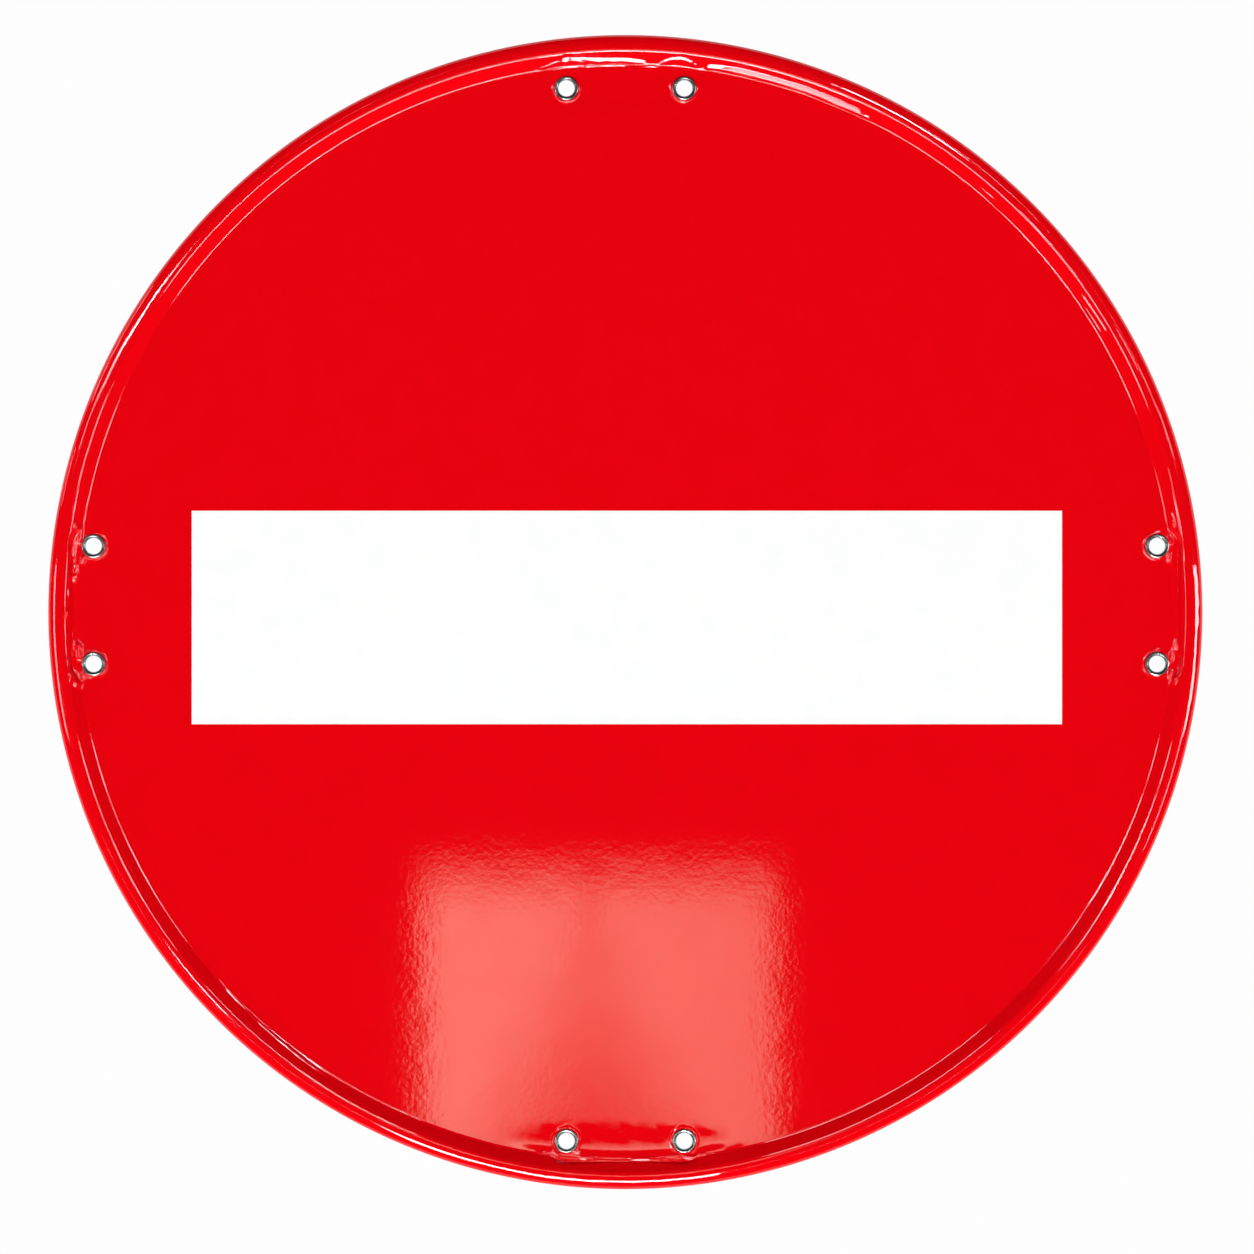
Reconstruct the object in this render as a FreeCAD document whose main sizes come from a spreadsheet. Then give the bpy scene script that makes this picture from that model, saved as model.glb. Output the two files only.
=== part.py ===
import FreeCAD, Part
import math
import os
import Sketcher

# No entry sign: a pressed steel disc with a raised rim and a turned-back flange, a red
# reflective film over its front, a white bar let into the film, and eight plated eyelets in
# four pairs that line the bolt holes.
#
# Frame: +Z is up, the sign faces -Y, and the origin is the disc's centre in the plane of the
# flange's rear edge, which bears on a wall. All sizes are in millimetres and degrees.

DRIVING_SIZES = {
    # the disc over its film, from crest of the rim to rear edge of the flange
    "disc_diameter": 600,
    "overall_depth": 25,
    "sheet_thickness": 1.8,
    "film_thickness": 0.4,
    # how far the film runs back from the crest, over the outer bend and onto the flange
    "film_return": 13,
    # the rim: crest's distance in from the edge, its height over the face and its slope inside
    "crest_inset": 7.4,
    "rim_height": 4.25,
    "wall_slope": 33,
    # the four bends of the rim, each measured on the hollow side of its bend
    "foot_radius": 2.5,
    "shoulder_radius": 1.8,
    "crown_radius": 10.3,
    "edge_radius": 2.3,
    # the white bar, with its centre a little right of and under the disc's
    "bar_length": 452.2,
    "bar_height": 110.9,
    "bar_shift": 0.8,
    "bar_drop": 2.8,
    "bar_gap": 0.05,
    # the hole pairs, set in from the disc's edge: at the top and bottom, and at the two sides
    "pair_spacing": 61.2,
    "end_inset": 26.5,
    "end_drop": 1.3,
    "side_inset": 23.7,
    "side_rise": 3.7,
    # the pad pressed flat round each pair of holes
    "pad_radius": 11,
    "pad_depth": 0.3,
    "pad_flank": 60,
    # an eyelet: its bore, its barrel, the flange in front and the clinched end behind, each with
    # a flat ring left between the rounding of its throat and the rounding of its lip
    "bore_diameter": 8.3,
    "barrel_wall": 0.8,
    "barrel_gap": 0.05,
    "throat_radius": 1.3,
    "lip_radius": 0.5,
    "flange_flat": 0.25,
    "flange_thickness": 1.0,
    "clinch_flat": 0.05,
    "clinch_thickness": 0.9,
    # how far a cutting body runs past what it cuts
    "overcut": 2,
}

doc = FreeCAD.newDocument("no_entry_sign")
sheet = doc.addObject("Spreadsheet::Sheet", "dims")
for row, (alias, number) in enumerate(DRIVING_SIZES.items(), start=1):
    sheet.set(f"A{row}", alias)
    sheet.set(f"B{row}", str(number))
    sheet.setAlias(f"B{row}", alias)
doc.recompute()

# Sizes that follow from the driving ones, as expressions of the sheet's cells
STACK = "(dims.sheet_thickness + dims.film_thickness)"
FACE_LEVEL = "(dims.overall_depth - dims.rim_height)"
PAD_LEVEL = f"({FACE_LEVEL} - dims.pad_depth)"
HALF_PAIR = "dims.pair_spacing / 2"
END_REACH = "(dims.disc_diameter / 2 - dims.end_inset)"
SIDE_REACH = "(dims.disc_diameter / 2 - dims.side_inset)"
TOP = f"{END_REACH} - dims.end_drop"
BOTTOM = f"-{END_REACH} - dims.end_drop"
UPPER = f"dims.side_rise + {HALF_PAIR}"
LOWER = f"dims.side_rise - {HALF_PAIR}"
BARREL_RADIUS = "(dims.bore_diameter / 2 + dims.barrel_wall)"
ROUNDED = "dims.bore_diameter / 2 + dims.throat_radius + dims.lip_radius"
FLANGE_RADIUS = f"({ROUNDED} + dims.flange_flat)"
CLINCH_RADIUS = f"({ROUNDED} + dims.clinch_flat)"

# Each eyelet's place on the face, as X and Z
EYELETS = {
    "eyelet_top_left": (f"-{HALF_PAIR}", TOP),
    "eyelet_top_right": (HALF_PAIR, TOP),
    "eyelet_right_upper": (SIDE_REACH, UPPER),
    "eyelet_right_lower": (SIDE_REACH, LOWER),
    "eyelet_bottom_right": (HALF_PAIR, BOTTOM),
    "eyelet_bottom_left": (f"-{HALF_PAIR}", BOTTOM),
    "eyelet_left_lower": (f"-{SIDE_REACH}", LOWER),
    "eyelet_left_upper": (f"-{SIDE_REACH}", UPPER),
}
PLACES = list(EYELETS.values())
PAIRS = [PLACES[first:first + 2] for first in range(0, len(PLACES), 2)]


def size(expression):
    """The value of an expression of the sheet's cells, as a plain number."""
    value = sheet.evalExpression(expression)
    return float(getattr(value, "Value", value))


def sketch_on(body, role, name, level=None):
    """A sketch on one of the body's own planes, moved along the plane's normal to a level."""
    sketch = body.newObject("Sketcher::SketchObject", name)
    plane = next(item for item in body.Origin.OriginFeatures if item.Role == role)
    sketch.AttachmentSupport = [(plane, "")]
    sketch.MapMode = "FlatFace"
    if level:
        sketch.setExpression("AttachmentOffset.Base.z", level)
    return sketch


def tie(sketch, expression, kind, *where):
    """A dimension of the sketch that follows the sheet."""
    value = size(expression)
    if kind == "Angle":
        value = math.radians(value)
    index = sketch.addConstraint(Sketcher.Constraint(kind, *where, value))
    sketch.setExpression(f"Constraints[{index}]", expression)


def point(across, along):
    return FreeCAD.Vector(across, along, 0)


def line(start, end):
    return Part.LineSegment(point(*start), point(*end))


def arc(centre, radius, first_degrees, last_degrees):
    circle = Part.Circle(point(*centre), FreeCAD.Vector(0, 0, 1), radius)
    return Part.ArcOfCircle(circle, math.radians(first_degrees), math.radians(last_degrees))


def closed_outline(sketch, corners):
    """Level and upright lines through the corners, joined end to end."""
    count = len(corners)
    for index, corner in enumerate(corners):
        following = corners[(index + 1) % count]
        sketch.addGeometry(line(corner, following))
        level = abs(corner[1] - following[1]) < abs(corner[0] - following[0])
        sketch.addConstraint(Sketcher.Constraint("Horizontal" if level else "Vertical", index))
    for index in range(count):
        sketch.addConstraint(Sketcher.Constraint("Coincident", index, 2, (index + 1) % count, 1))


# A pressed surface
# The film's front, the steel's front and the steel's back are one pressed shape at three
# depths. Each is made as the solid that fills the sign behind that surface, and a sheet is what
# is left of one solid when the next one behind it is cut out.

def rim_section(body, under, length):
    """Half the disc's section, from its axis to its edge, at a depth under the film's front.

    The face runs out to the foot of the rim, the wall slopes up over the shoulder to the crest,
    and the crown falls away to the edge, where the flange turns straight back.
    """
    sketch = sketch_on(body, "XY_Plane", body.Name + "_section")
    over = f"({STACK} - {under})"
    radii = {
        "foot": f"dims.foot_radius + {under}",
        "shoulder": f"dims.shoulder_radius + {over}",
        "crown": f"dims.crown_radius + {over}",
        "edge": f"dims.edge_radius + {over}",
    }
    outer = f"dims.disc_diameter / 2 - {under}"
    crest_across = "dims.disc_diameter / 2 - dims.crest_inset"
    crest_depth = f"dims.overall_depth - {under}"
    face_depth = f"{FACE_LEVEL} - {under}"

    foot, shoulder, crown, edge = (size(radius) for radius in radii.values())
    edge_across = size(outer)
    crest = (size(crest_across), -size(crest_depth))
    face = -size(face_depth)
    slope = math.radians(size("dims.wall_slope"))
    drop = (foot + shoulder) * (1 - math.cos(slope))
    wall_run = (size("dims.rim_height") - drop) / math.tan(slope)
    wall_top = (crest[0] - shoulder * math.sin(slope), crest[1] + shoulder * (1 - math.cos(slope)))
    wall_foot = (wall_top[0] - wall_run, wall_top[1] + wall_run * math.tan(slope))
    foot_across = wall_foot[0] - foot * math.sin(slope)
    lean = math.asin((edge_across - edge - crest[0]) / (crown - edge))
    edge_centre = (edge_across - edge, crest[1] + crown - (crown - edge) * math.cos(lean))
    rear = crest[1] + size(length)
    slope_degrees = math.degrees(slope)
    lean_degrees = math.degrees(lean)

    sketch.addGeometry([
        line((0, face), (foot_across, face)),
        arc((foot_across, face - foot), foot, 90 - slope_degrees, 90),
        line(wall_foot, wall_top),
        arc((crest[0], crest[1] + shoulder), shoulder, -90 - slope_degrees, -90),
        arc((crest[0], crest[1] + crown), crown, -90, -90 + lean_degrees),
        arc(edge_centre, edge, -90 + lean_degrees, 0),
        line((edge_across, edge_centre[1]), (edge_across, rear)),
        line((edge_across, rear), (0, rear)),
        line((0, rear), (0, face)),
    ])
    smooth_joints = [(0, 2, 1, 2), (1, 1, 2, 1), (2, 2, 3, 1), (3, 2, 4, 1), (4, 2, 5, 1), (5, 2, 6, 1)]
    corner_joints = [(6, 2, 7, 1), (7, 2, 8, 1), (8, 2, 0, 1)]
    sketch.addConstraint(
        [Sketcher.Constraint("Tangent", *joint) for joint in smooth_joints]
        + [Sketcher.Constraint("Coincident", *joint) for joint in corner_joints]
        + [Sketcher.Constraint("Horizontal", level) for level in (0, 7)]
        + [Sketcher.Constraint("Vertical", upright) for upright in (6, 8)]
        + [Sketcher.Constraint("PointOnObject", 8, 1, -2), Sketcher.Constraint("Vertical", 3, 3, 3, 2)]
    )
    for index, radius in zip((1, 3, 4, 5), radii.values()):
        tie(sketch, radius, "Radius", index)
    tie(sketch, "-dims.wall_slope", "Angle", 2)
    tie(sketch, outer, "DistanceX", -1, 1, 6, 1)
    tie(sketch, crest_across, "DistanceX", -1, 1, 3, 2)
    tie(sketch, crest_depth, "DistanceY", 3, 2, -1, 1)
    tie(sketch, face_depth, "DistanceY", 0, 1, -1, 1)
    tie(sketch, length, "DistanceY", 3, 2, 7, 1)
    return sketch


def add_slot(sketch, places, radius):
    """A round-ended slot about two hole centres, level or upright."""
    (x1, z1), (x2, z2) = [tuple(size(part) for part in place) for place in places]
    reach = size(radius)
    turn = math.degrees(math.atan2(z2 - z1, x2 - x1))
    side_x = -reach * math.sin(math.radians(turn))
    side_z = reach * math.cos(math.radians(turn))
    first = sketch.GeometryCount
    sketch.addGeometry([
        arc((x1, z1), reach, turn + 90, turn + 270),
        line((x1 - side_x, z1 - side_z), (x2 - side_x, z2 - side_z)),
        arc((x2, z2), reach, turn - 90, turn + 90),
        line((x2 + side_x, z2 + side_z), (x1 + side_x, z1 + side_z)),
    ])
    for step in range(4):
        joint = (first + step, 2, first + (step + 1) % 4, 1)
        sketch.addConstraint(Sketcher.Constraint("Tangent", *joint))
    tie(sketch, radius, "Radius", first)
    for end, (across, up) in zip((first, first + 2), places):
        tie(sketch, across, "DistanceX", -1, 1, end, 3)
        if end == first or z1 != z2:
            tie(sketch, up, "DistanceY", -1, 1, end, 3)


def press_form(name, under, length):
    """The solid behind the pressed surface that lies at a depth under the film's front."""
    body = doc.addObject("PartDesign::Body", name)
    section = rim_section(body, under, length)
    disc = body.newObject("PartDesign::Revolution", name + "_disc")
    disc.Profile = section
    disc.ReferenceAxis = (section, ["V_Axis"])
    doc.recompute()
    plain_volume = disc.Shape.Volume

    pads = sketch_on(body, "XZ_Plane", name + "_pads", f"{PAD_LEVEL} - {under}")
    radius = f"dims.pad_radius + {under} * tan(dims.pad_flank * 1 deg / 2)"
    for places in PAIRS:
        add_slot(pads, places, radius)
    press = body.newObject("PartDesign::Pocket", name + "_press")
    press.Profile = pads
    press.Reversed = True
    press.setExpression("Length", "dims.rim_height + dims.pad_depth + dims.overcut")
    press.setExpression("TaperAngle", "90 - dims.pad_flank")
    doc.recompute()
    if press.Shape.Volume >= plain_volume:
        raise RuntimeError(name + ": the pads cut nothing")
    return body


# Bodies that cut the holes and the bar's window

def drill_set():
    """Eight rods that open the holes for the eyelets' barrels."""
    body = doc.addObject("PartDesign::Body", "drills")
    sketch = sketch_on(body, "XZ_Plane", "drill_circles")
    radius = f"{BARREL_RADIUS} + dims.barrel_gap"
    for index, (across, up) in enumerate(EYELETS.values()):
        centre = point(size(across), size(up))
        sketch.addGeometry(Part.Circle(centre, FreeCAD.Vector(0, 0, 1), size(radius)))
        tie(sketch, across, "DistanceX", -1, 1, index, 3)
        tie(sketch, up, "DistanceY", -1, 1, index, 3)
        tie(sketch, radius, "Radius", index)
    rods = body.newObject("PartDesign::Pad", "drill_rods")
    rods.Profile = sketch
    rods.SideType = "Symmetric"
    rods.setExpression("Length", "2 * (dims.overall_depth + dims.overcut)")
    return body


def bar_block(name, grow, level, thickness):
    """A slab on the bar's outline, grown by a gap on every side."""
    body = doc.addObject("PartDesign::Body", name)
    sketch = sketch_on(body, "XZ_Plane", name + "_outline", level)
    length = f"dims.bar_length + 2 * {grow}"
    height = f"dims.bar_height + 2 * {grow}"
    left = f"dims.bar_shift - ({length}) / 2"
    low = f"-dims.bar_drop - ({height}) / 2"
    x, z, wide, high = (size(part) for part in (left, low, length, height))
    closed_outline(sketch, [(x, z), (x + wide, z), (x + wide, z + high), (x, z + high)])
    tie(sketch, left, "DistanceX", -1, 1, 0, 1)
    tie(sketch, low, "DistanceY", -1, 1, 0, 1)
    tie(sketch, length, "DistanceX", 0, 1, 0, 2)
    tie(sketch, height, "DistanceY", 1, 1, 1, 2)
    slab = body.newObject("PartDesign::Pad", name + "_slab")
    slab.Profile = sketch
    slab.setExpression("Length", thickness)
    return body


def cut_from(base, tools, name):
    """What is left of one body when others are cut out of it."""
    joined = doc.addObject("Part::MultiFuse", name + "_cutters")
    joined.Shapes = tools
    result = doc.addObject("Part::Cut", name)
    result.Base = base
    result.Tool = joined
    result.Label = name
    return result


# An eyelet
# A barrel through the film and the steel, with a rounded flange on the film and an end that is
# clinched over the steel's back. Its own origin is on its axis, in the plane of the pad it sits
# on, and its section is turned about Y.

def rim_edges(shape, radius, level):
    """Names of the round edges of one radius at one level along Y."""
    names = []
    for index, edge in enumerate(shape.Edges, start=1):
        round_edge = isinstance(edge.Curve, Part.Circle) and abs(edge.Curve.Radius - radius) < 1e-6
        if round_edge and abs(edge.Curve.Center.y - level) < 1e-6:
            names.append(f"Edge{index}")
    return names


def eyelet(name, across, up):
    body = doc.addObject("PartDesign::Body", name)
    body.Label = name
    section = sketch_on(body, "XY_Plane", name + "_section")
    bore = size("dims.bore_diameter / 2")
    barrel = size(BARREL_RADIUS)
    flange = size(FLANGE_RADIUS)
    clinch = size(CLINCH_RADIUS)
    front = -size("dims.flange_thickness")
    stack = size(STACK)
    rear = stack + size("dims.clinch_thickness")
    closed_outline(section, [
        (bore, front), (flange, front), (flange, 0), (barrel, 0),
        (barrel, stack), (clinch, stack), (clinch, rear), (bore, rear),
    ])
    section.addConstraint(Sketcher.Constraint("PointOnObject", 2, 1, -1))
    tie(section, "dims.bore_diameter / 2", "DistanceX", -1, 1, 0, 1)
    tie(section, FLANGE_RADIUS, "DistanceX", -1, 1, 1, 1)
    tie(section, CLINCH_RADIUS, "DistanceX", -1, 1, 5, 2)
    tie(section, "dims.barrel_wall", "DistanceX", 0, 1, 3, 2)
    tie(section, "dims.flange_thickness", "DistanceY", 1, 1, 1, 2)
    tie(section, STACK, "DistanceY", 3, 1, 3, 2)
    tie(section, "dims.clinch_thickness", "DistanceY", 5, 1, 5, 2)
    turned = body.newObject("PartDesign::Revolution", name + "_turned")
    turned.Profile = section
    turned.ReferenceAxis = (section, ["V_Axis"])
    doc.recompute()

    throats = rim_edges(turned.Shape, bore, front) + rim_edges(turned.Shape, bore, rear)
    throat = body.newObject("PartDesign::Fillet", name + "_throats")
    throat.Base = (turned, throats)
    throat.setExpression("Radius", "dims.throat_radius")
    doc.recompute()

    lips = rim_edges(throat.Shape, flange, front) + rim_edges(throat.Shape, clinch, rear)
    lip = body.newObject("PartDesign::Fillet", name + "_lips")
    lip.Base = (throat, lips)
    lip.setExpression("Radius", "dims.lip_radius")
    body.setExpression("Placement.Base.x", across)
    body.setExpression("Placement.Base.y", f"-{PAD_LEVEL}")
    body.setExpression("Placement.Base.z", up)
    return body


# The sign's pieces
film_front = press_form("film_front", "0", "dims.film_return")
steel_front = press_form("steel_front", "dims.film_thickness", "dims.overall_depth - dims.film_thickness")
steel_back = press_form("steel_back", STACK, f"dims.overall_depth - {STACK} + dims.overcut")
drills = drill_set()
steel_level = f"{FACE_LEVEL} - dims.film_thickness"
window = bar_block("bar_window", "dims.bar_gap", f"{steel_level} - dims.overcut", "2 * dims.overcut")

pieces = [
    cut_from(steel_front, [steel_back, drills], "sign_plate"),
    cut_from(film_front, [steel_front, drills, window], "red_film"),
    bar_block("white_bar", "0", steel_level, "dims.film_thickness"),
]
pieces += [eyelet(name, across, up) for name, (across, up) in EYELETS.items()]
doc.recompute()

# Every object is sound before anything is written
for item in doc.Objects:
    if "Invalid" in item.State or "Error" in item.State:
        raise RuntimeError(item.Name + " failed to build")
os.makedirs("parts", exist_ok=True)
for piece in pieces:
    if piece.Shape.isNull() or not piece.Shape.isValid():
        raise RuntimeError(piece.Label + " is not a sound solid")
    print(piece.Label, len(piece.Shape.Solids), "solid,", round(piece.Shape.Volume, 1), "mm3")
for piece in pieces:
    piece.Shape.exportStep(os.path.join("parts", piece.Label + ".step"))
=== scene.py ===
# %% [markdown]
# # A no entry sign, modelled and finished in Blender
# The sign is a disc of galvanised steel, pressed with a raised rim and a turned-back flange. A
# red film covers its front, with a white bar let into it, and eight plated eyelets line the
# bolt holes. The CAD model comes first, as a fixed frame: each piece below takes its size and
# place from it, so nothing has to be fitted by eye.

# %% Load the CAD model as the frame
import math
import bpy
import numpy as np
from mathutils import Matrix, Vector


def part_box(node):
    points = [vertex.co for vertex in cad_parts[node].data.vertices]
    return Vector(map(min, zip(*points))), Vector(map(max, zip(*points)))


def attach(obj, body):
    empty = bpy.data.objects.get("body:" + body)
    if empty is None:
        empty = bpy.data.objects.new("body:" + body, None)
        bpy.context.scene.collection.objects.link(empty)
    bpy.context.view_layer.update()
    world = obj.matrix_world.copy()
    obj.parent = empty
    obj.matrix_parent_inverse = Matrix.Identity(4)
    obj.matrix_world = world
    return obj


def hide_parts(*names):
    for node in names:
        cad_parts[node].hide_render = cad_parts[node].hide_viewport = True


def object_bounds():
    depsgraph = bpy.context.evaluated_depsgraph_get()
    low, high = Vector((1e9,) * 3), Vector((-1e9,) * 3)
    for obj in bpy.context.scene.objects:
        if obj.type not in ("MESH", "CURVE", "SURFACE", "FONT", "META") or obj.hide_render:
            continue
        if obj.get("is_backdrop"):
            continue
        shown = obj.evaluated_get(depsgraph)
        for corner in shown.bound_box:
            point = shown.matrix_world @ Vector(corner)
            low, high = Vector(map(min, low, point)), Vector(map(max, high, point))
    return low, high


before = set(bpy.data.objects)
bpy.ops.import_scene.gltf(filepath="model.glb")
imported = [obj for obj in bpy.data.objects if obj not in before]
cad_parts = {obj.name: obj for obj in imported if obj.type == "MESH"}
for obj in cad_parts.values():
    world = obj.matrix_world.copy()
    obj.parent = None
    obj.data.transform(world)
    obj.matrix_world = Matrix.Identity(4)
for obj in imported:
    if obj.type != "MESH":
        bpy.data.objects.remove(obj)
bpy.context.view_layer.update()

# %% [markdown]
# ## Sizes
# A pressed sheet is one curve turned round an axis, so a few lengths settle it. The outer sizes
# are read from the frame. The rim's height, its crest and the slope of its wall repeat the CAD
# model's values, because they can't be read from a box. Its bends differ a little from the CAD
# model's plain arcs: a real press leaves two narrow flats in the wall's bends and a faint knee
# in the crown, and on glossy film each shows as a thin line of light, or as a gap in one.

# %% Sizes of the pressed disc
MM = 0.001
film_low, film_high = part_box("red_film")
plate_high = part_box("sign_plate")[1]
DISC_RADIUS = min(-film_low.x, film_high.x, -film_low.z, film_high.z)
DEPTH = plate_high.y - film_low.y
FILM_END = film_high.y
FILM = 0.4 * MM
STACK = 2.2 * MM  # film and steel together
CREST_INSET = 7.4 * MM
RIM_HEIGHT = 4.25 * MM
WALL_SLOPE = math.radians(33)
FACE_LEVEL = -DEPTH + RIM_HEIGHT
CREST_RADIUS = DISC_RADIUS - CREST_INSET
print("disc radius", round(DISC_RADIUS / MM, 2), "mm, depth", round(DEPTH / MM, 2), "mm")

# %% Bends of the rim: radii, then the flats in the wall's bends and the knee in the crown
FOOT, SHOULDER, CROWN, EDGE = 1.7 * MM, 1.02 * MM, 12.9 * MM, 2.3 * MM
FLAT, FLAT_TILT = 0.45 * MM, math.radians(18.4)
KNEE_START, KNEE_END, KNEE_EASE = math.radians(9.5), math.radians(13.2), 0.03 * MM
print("bends, mm:", [round(radius / MM, 2) for radius in (FOOT, SHOULDER, CROWN, EDGE)])

# %% Places of the eyelets
EYELETS = {}
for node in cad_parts:
    if node.startswith("eyelet"):
        low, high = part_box(node)
        EYELETS[node] = ((low.x + high.x) / 2, (low.z + high.z) / 2)
EYELET_PAIRS = [
    ("eyelet_top_left", "eyelet_top_right"),
    ("eyelet_right_upper", "eyelet_right_lower"),
    ("eyelet_bottom_left", "eyelet_bottom_right"),
    ("eyelet_left_upper", "eyelet_left_lower"),
]
for node, (across, up) in EYELETS.items():
    print(node, round(across / MM, 1), round(up / MM, 1))

# %% [markdown]
# ## The rim's section
# The film's front, the steel's front and the steel's back follow one pressed shape at three
# depths, as sheets do that were pressed together. One function gives the curve at any depth:
# each bend keeps its centre, and only its radius changes. The curve is sampled closely where it
# bends, because gloss shows every corner of a mesh.

# %% Runs and bends of a section, each without its first point
def line_points(start, end, steps):
    """A straight run from a point to a point."""
    shares = np.linspace(0, 1, steps + 1)[1:]
    return [(start[0] + (end[0] - start[0]) * s, start[1] + (end[1] - start[1]) * s) for s in shares]


def bend_points(start, radius, from_tilt, to_tilt, steps):
    """An arc between two tilts. The radius is negative where the sheet bends the other way."""
    tilts = np.linspace(from_tilt, to_tilt, steps + 1)[1:]
    centre = (start[0] - radius * math.sin(from_tilt), start[1] - radius * math.cos(from_tilt))
    return [(centre[0] + radius * math.sin(t), centre[1] + radius * math.cos(t)) for t in tilts]


# %% The curve from the face to the flange, at a depth under the film's front
FACE_STEPS = ((120, 1), (200, 1), (255, 2), (279, 16), (283, 8))  # radius in mm, steps up to it
QUARTER_TURN = math.pi / 2


def rim_section(under, flange_end, fineness=1.0):
    """(radius, level) points from the disc's axis over the rim to an end on the flange."""
    over = STACK - under
    foot, shoulder, crown, edge = FOOT + under, SHOULDER + over, CROWN + over, EDGE + over
    outer, face = DISC_RADIUS - under, FACE_LEVEL + under

    def steps(count):
        return max(2, round(count * fineness))

    def run(length, tilt, count):
        end = (points[-1][0] + length * math.cos(tilt), points[-1][1] - length * math.sin(tilt))
        points.extend(line_points(points[-1], end, count))

    def bend(radius, from_tilt, to_tilt, count):
        points.extend(bend_points(points[-1], radius, from_tilt, to_tilt, steps(count)))

    flat_run, flat_rise = FLAT * math.cos(FLAT_TILT), FLAT * math.sin(FLAT_TILT)
    bends_rise = (foot + shoulder) * (1 - math.cos(WALL_SLOPE)) + 2 * flat_rise
    wall_run = (RIM_HEIGHT - bends_rise) / math.tan(WALL_SLOPE)
    foot_start = CREST_RADIUS - (foot + shoulder) * math.sin(WALL_SLOPE) - 2 * flat_run - wall_run
    # The crown ends at the tilt from which the edge's bend just reaches the outer radius.
    lean = math.asin((outer - edge - CREST_RADIUS) / (crown - edge)
                     + crown / (crown - edge) * (math.sin(KNEE_END) - math.sin(KNEE_START)))

    points = [(0.0, face)]
    for radius, count in FACE_STEPS:
        points += line_points(points[-1], (radius * MM, face), max(1, round(count * fineness)))
    points += line_points(points[-1], (foot_start, face), steps(4))
    bend(foot, 0, FLAT_TILT, 4)
    run(FLAT, FLAT_TILT, 4)
    bend(foot, FLAT_TILT, WALL_SLOPE, 3)
    run(wall_run / math.cos(WALL_SLOPE), WALL_SLOPE, steps(15))
    bend(-shoulder, WALL_SLOPE, FLAT_TILT, 3)
    run(FLAT, FLAT_TILT, 4)
    bend(-shoulder, FLAT_TILT, 0, 4)
    bend(-crown, 0, -KNEE_START, 5)
    run(KNEE_EASE, -KNEE_START, 1)
    run(KNEE_EASE, -KNEE_END, 1)
    bend(-crown, -KNEE_END, -lean, 5)
    bend(-(outer - points[-1][0]) / (1 - math.sin(lean)), -lean, -QUARTER_TURN, 10)
    points += line_points(points[-1], (outer, flange_end), 2)
    return points


HIDDEN, SEEN_FROM_BEHIND = 0.25, 0.6  # fineness of the surfaces that gloss doesn't show
film_front = rim_section(0, FILM_END)
film_back = rim_section(FILM, FILM_END, HIDDEN)
steel_front = rim_section(FILM, 0, HIDDEN)
steel_back = rim_section(STACK, 0, SEEN_FROM_BEHIND)
print("film's front has", len(film_front), "points, steel's back", len(steel_back))

# %% [markdown]
# ## Marks of the press
# Nothing pressed is perfect. Each pair of holes sits in a shallow dish, the film stands up in a
# thin lip round each eyelet, and the punch left small ledges and ridges in the wall of the rim.
# They are too small to see by their shape, but on a glossy film they catch the light. Each is a
# change of height in one function, so that the film and the steel behind it move together.

# %% An even step, a slow unevenness, and the distance to a pair of holes
def smooth(share):
    """A step from 0 to 1 that starts and ends level."""
    share = np.clip(share, 0, 1)
    return share * share * (3 - 2 * share)


def wobble(x, z, length):
    """A slow unevenness between -1 and 1, of waves about as long as given, and none alike."""
    first = np.sin(2.1 * math.pi * x / length + 1.3 * np.sin(1.7 * math.pi * z / length))
    return first * np.sin(1.9 * math.pi * z / length + 0.9 * np.sin(2.3 * math.pi * x / length) + 0.6)


def segment_distance(x, z, start, end):
    """Distance from a straight line between two points."""
    along = np.subtract(end, start)
    share = np.clip(((x - start[0]) * along[0] + (z - start[1]) * along[1]) / along.dot(along), 0, 1)
    return np.hypot(x - start[0] - share * along[0], z - start[1] - share * along[1])


def pair_distance(x, z, pair):
    """Distance from the line between a pair's two hole centres."""
    return segment_distance(x, z, EYELETS[pair[0]], EYELETS[pair[1]])


# %% How high each lip of film stands round its eyelet
LIP_START, LIP_TOP, LIP_END, LIP_HEIGHT = 6.25 * MM, 6.75 * MM, 8.1 * MM, 0.43 * MM


def lips(x, z):
    """The film's raised lip round each eyelet, highest on the side of the disc's centre."""
    height = np.zeros_like(x)
    for across, up in EYELETS.values():
        away = np.hypot(x - across, z - up)
        inward = -((x - across) * across + (z - up) * up) / (away * math.hypot(across, up))
        climb = smooth((away - LIP_START) / (LIP_TOP - LIP_START))
        fall = 1 - smooth((away - LIP_TOP) / (LIP_END - LIP_TOP))
        height += LIP_HEIGHT * (0.5 + 0.5 * inward) * climb * fall
    return height


# %% [markdown]
# The dishes are not alike. Three have an even slope all round. The lowest was pressed in nearer
# the wall, so the film leans beside its eyelets, and the mirror image of the bright panel bends
# round them. The edge of every dish wanders a little, as sheet does that is pressed in one blow.

# %% How far the dishes lie under the face
PAD_DEPTH = 0.3 * MM
DISH_FLAT, DISH_REACH = 2.5 * MM, 15 * MM
DISH_WANDER, DISH_WAVE = 1.2 * MM, 21 * MM
# The lowest dish: how far its middle line lies under the holes and runs past the left one, its
# reach, and how much a distance past the line's ends counts.
LOW_PAIR = EYELET_PAIRS[2]
LOW_SHIFT, LOW_LONGER, LOW_REACH, LOW_TAPER = 6 * MM, 5 * MM, 17 * MM, 0.6


def dish_share(x, z, away, reach):
    """From 1 in the middle of a dish to 0 at its reach."""
    away = away + DISH_WANDER * wobble(x, z, DISH_WAVE)
    return 1 - smooth((away - DISH_FLAT) / (reach - DISH_FLAT))


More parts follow.
